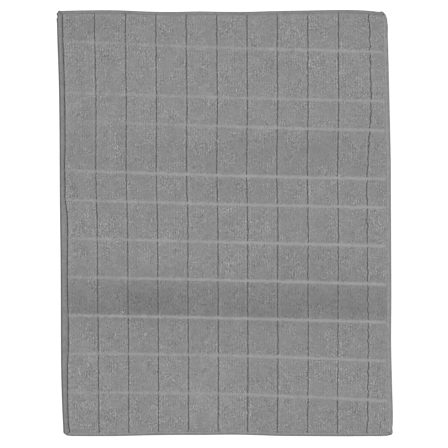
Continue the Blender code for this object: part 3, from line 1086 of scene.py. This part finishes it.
def tape_section(width):
    """One tape's outer face from its seam on top, round its fold, to its free edge
    below."""
    fold = FOLD_SHARE * width
    half = TAPE_CROWN / 2
    seam = width - SEAM_INSET
    points = [
        TapePoint(width, SEAM_HEIGHT - 0.25 * MM, 0.3),
        TapePoint(width - 0.12 * MM, SEAM_HEIGHT, 0.4),
        TapePoint(width - 0.45 * MM, SEAM_HEIGHT + 0.08 * MM, 0.2),
        TapePoint(seam, SEAM_HEIGHT, 0),
        TapePoint(seam - 0.4 * MM, SEAM_HEIGHT + 0.22 * MM, 0.3),
        TapePoint((seam + fold) / 2, TAPE_CROWN - 0.05 * MM, 0.8),
    ]
    for k in range(FOLD_STEPS + 1):
        turn = pi / 2 - pi * k / FOLD_STEPS
        inset, height = fold * (1 - cos(turn)), half * (1 + sin(turn))
        points.append(TapePoint(inset, height, max(0, sin(turn))))
    points.append(TapePoint(width, 0, 0))
    return points


def make_tape(side, before, after, material):
    """The tape folded over one side. `before` and `after` are the sides whose tapes
    it meets, at the distance 0 along it and at its far end."""
    length, width = SIDE_LENGTHS[side], TAPE_WIDTHS[side]
    section = tape_section(width)
    count = 2 * round(length / STITCH_PITCH) + 1
    insets, heights, loose = (field(section, name)[:, None] for name in TapePoint._fields)
    start = MITRE_GAP / 2 + insets * TAPE_WIDTHS[before] / width
    stop = length - MITRE_GAP / 2 - insets * TAPE_WIDTHS[after] / width
    along = start + (stop - start) * np.linspace(0, 1, count)[None, :]
    out, up = puckered(side, along)
    dimple = np.where(np.arange(count) % 2 == 0, 1.0, -STITCH_RISE)[None, :]
    on_seam = np.exp(-(((insets - width + SEAM_INSET) / DIMPLE_REACH) ** 2))
    heights = heights - STITCH_DIMPLE * dimple * on_seam * (heights > TAPE_CROWN / 2)
    heights = heights + up * loose
    on_top = heights > TAPE_CROWN / 2

    # The tape's tone: painted shade at the fold and below it, where the tape turns away from
    # the light, and painted light at the seam, against the pile's shadow.
    tone = TAPE_TONES_AND_PAINTED_SHADE[side]
    fold_shade_share = np.clip(FOLD_SHADE_SHARPNESS * (1 - insets / (FOLD_SHARE * width)), 0, 1)
    fold_shade_share = np.where(on_top, fold_shade_share, 1)
    seam_shading_share = np.clip(1 - (width - insets) / SEAM_SHADING_REACH, 0, 1) * (1 - fold_shade_share)
    tone_and_painted_shade = tone.middle + (tone.fold - tone.middle) * fold_shade_share
    tone_and_painted_shade = tone_and_painted_shade + (tone.seam - tone.middle) * seam_shading_share

    # A seam's straying fades out at the fold, and a pucker fades out at the seam.
    shares = insets / width
    insets = insets + strayed(side, along) * on_top * np.clip(1.7 * shares - 0.7, 0, 1)
    insets = insets - out * np.clip(1.4 - shares, 0, 1)
    x, y = lay(*beside(side, insets, along))

    bm = bmesh.new()
    weave = bm.verts.layers.float_vector.new("weave")
    tones = bm.verts.layers.float.new("tone")
    crossings = crossings_of(bm, len(section), count)
    round_fold = np.cumsum([0] + [
        ((a.inset - b.inset) ** 2 + (a.height - b.height) ** 2) ** 0.5
        for a, b in zip(section, section[1:])
    ])
    for vert, (i, j) in crossings.items():
        spot = Vector((x[i, j], y[i, j], heights[i, j]))
        ruck = sum(noise.noise(spot / size) * height for size, height in RUCKS)
        vert.co = spot + Vector((0, 0, ruck * MM * loose[i, 0]))
        vert[weave] = (along[i, j], round_fold[i], 0)
        vert[tones] = tone_and_painted_shade[i, j]
    if side in ("right", "head"):
        bmesh.ops.reverse_faces(bm, faces=bm.faces)
    piece = finished(f"tape_{side}", bm, material)
    wall = piece.modifiers.new("cloth thickness", "SOLIDIFY")
    wall.thickness = TAPE_THICKNESS
    wall.offset = -1
    wall.use_even_offset = True
    return piece


def make_stitches(side, material):
    """The line of stitches that holds one tape down, as thread lying on its top."""
    length, width = SIDE_LENGTHS[side], TAPE_WIDTHS[side]
    count = round(length / STITCH_PITCH)
    free = STITCH_FREE * width
    along = np.linspace(free, length - free, count)
    inset = width - SEAM_INSET + strayed(side, along)
    x, y = lay(*beside(side, inset, along))
    bm = bmesh.new()
    tones = bm.verts.layers.float.new("tone")
    thick, long = STITCH_THICKNESS / 2, STITCH_LENGTH / 2
    for k in range(count):
        a, b = max(k - 1, 0), min(k + 1, count - 1)
        way = Vector((x[b] - x[a], y[b] - y[a], 0)).normalized()
        turned = Matrix((way, (-way.y, way.x, 0), (0, 0, 1))).transposed().to_4x4()
        shaped = Matrix.Diagonal((long, thick, thick, 1))
        spot = Matrix.Translation((x[k], y[k], SEAM_HEIGHT + 0.25 * thick))
        bmesh.ops.create_icosphere(bm, subdivisions=1, radius=1, matrix=spot @ turned @ shaped)
    # The thread takes the seam's painted light.
    for vert in bm.verts:
        vert[tones] = TAPE_TONES_AND_PAINTED_SHADE[side].seam
    return finished(f"stitches_{side}", bm, material)


# Lint on the pile: the middle of each fibre, its length and thickness in mm, the way its
# middle bulges and how much it curls, in degrees.
LINT = table("x y length thickness bulge curl", [
    (-153.7, -156.6, 8.0, 0.60, 192, 35),
    (-107.6, -94, 2.2, 0.80, 40, 60),
])
PILE_TOP = 5.9 * MM


def make_lint(material):
    """Loose fibres on the pile, each a bent thread."""
    bm = bmesh.new()
    for fibre in LINT:
        radius = fibre.length * MM / radians(fibre.curl)
        bulge = radians(fibre.bulge)
        side = Vector((cos(bulge), sin(bulge), 0))
        centre = Vector((fibre.x * MM, fibre.y * MM, PILE_TOP)) - side * radius
        thick = fibre.thickness * MM / 2
        start = Matrix.Rotation(bulge - radians(fibre.curl) / 2, 4, "Z")
        turn = Matrix.Translation(centre) @ start @ Matrix.Translation((radius, 0, 0))
        end = bmesh.ops.create_circle(
            bm, cap_ends=True, segments=6, radius=thick,
            matrix=turn @ Matrix.Rotation(radians(90), 4, "X"),
        )
        faces = list({face for vert in end["verts"] for face in vert.link_faces})
        bmesh.ops.spin(
            bm, geom=faces, cent=centre, axis=(0, 0, 1), angle=radians(fibre.curl), steps=12,
        )
    bmesh.ops.recalc_face_normals(bm, faces=bm.faces)
    return finished("lint", bm, material)


# ---------------------------------------------------------------- studio


def make_floor():
    """The pale table, which glows a little."""
    bm = bmesh.new()
    bmesh.ops.create_grid(bm, x_segments=1, y_segments=1, size=FLOOR_SIZE / 2)
    material, tree = new_material(
        "pale table", TABLE_COLOUR, Roughness=0.9, Specular_IOR_Level=0.0,
        Emission_Color=(1, 1, 1, 1), Emission_Strength=TABLE_GLOW,
    )
    shade = grain(tree, object_place(tree), 0.4, 1.0)
    link_colour(tree, TABLE_COLOUR, ranged(tree, shade, 0.99, 1.01))
    floor = finished("floor", bm, material)
    floor.data.transform(Matrix.Translation((0, 0, -FLOOR_GAP)))


def make_light(lamp):
    """A round soft lamp that points at the mat's middle."""
    light = bpy.data.lights.new(lamp.name, "AREA")
    light.shape = "DISK"
    light.size = lamp.size
    light.energy = lamp.power
    stand = bpy.data.objects.new(lamp.name, light)
    stand.location = lamp.place
    stand.rotation_euler = (-Vector(lamp.place)).to_track_quat("-Z", "Y").to_euler()
    bpy.context.scene.collection.objects.link(stand)


def make_studio():
    """A pale room and a table lit from below, one large soft lamp far to the left, one
    overhead, and the camera straight above the mat."""
    make_floor()
    for lamp in LAMPS:
        make_light(lamp)
    world = bpy.data.worlds.new("pale room")
    world.use_nodes = True
    backdrop = world.node_tree.nodes["Background"].inputs
    backdrop["Color"].default_value = (1, 1, 1, 1)
    backdrop["Strength"].default_value = ROOM_LIGHT
    bpy.context.scene.world = world
    bpy.context.scene.view_settings.view_transform = "Standard"

    camera = bpy.data.cameras.new("camera")
    camera.lens = FOCAL_LENGTH
    camera.sensor_width = SENSOR
    camera.clip_start = 0.01
    stand = bpy.data.objects.new("camera", camera)
    above = VIEW_WIDTH * FOCAL_LENGTH / SENSOR
    stand.location = (*VIEW_MIDDLE, above + GROUND_HEIGHT)
    bpy.context.scene.collection.objects.link(stand)
    bpy.context.scene.camera = stand


def dress():
    """Makes the pieces, and says what each replaces, rides on and is made of."""
    ground_cloth, pile_cloth = make_ground_cloth(), make_pile_cloth()
    tape_cloth, thread_cloth = make_tape_cloth(), make_thread_cloth()

    ground = make_ground(ground_cloth)
    pile = make_pile(ground, pile_cloth)
    lint = make_lint(make_lint_cloth())
    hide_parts("mat")
    for piece in [ground, *pile, lint]:
        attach(piece, BODY)

    for side in TAPE_WIDTHS:
        neighbours = ("head", "foot") if side in ("left", "right") else ("left", "right")
        tape = make_tape(side, *neighbours, tape_cloth)
        stitches = make_stitches(side, thread_cloth)
        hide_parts(f"binding_{side}")
        for piece in (tape, stitches):
            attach(piece, BODY)


dress()
make_studio()
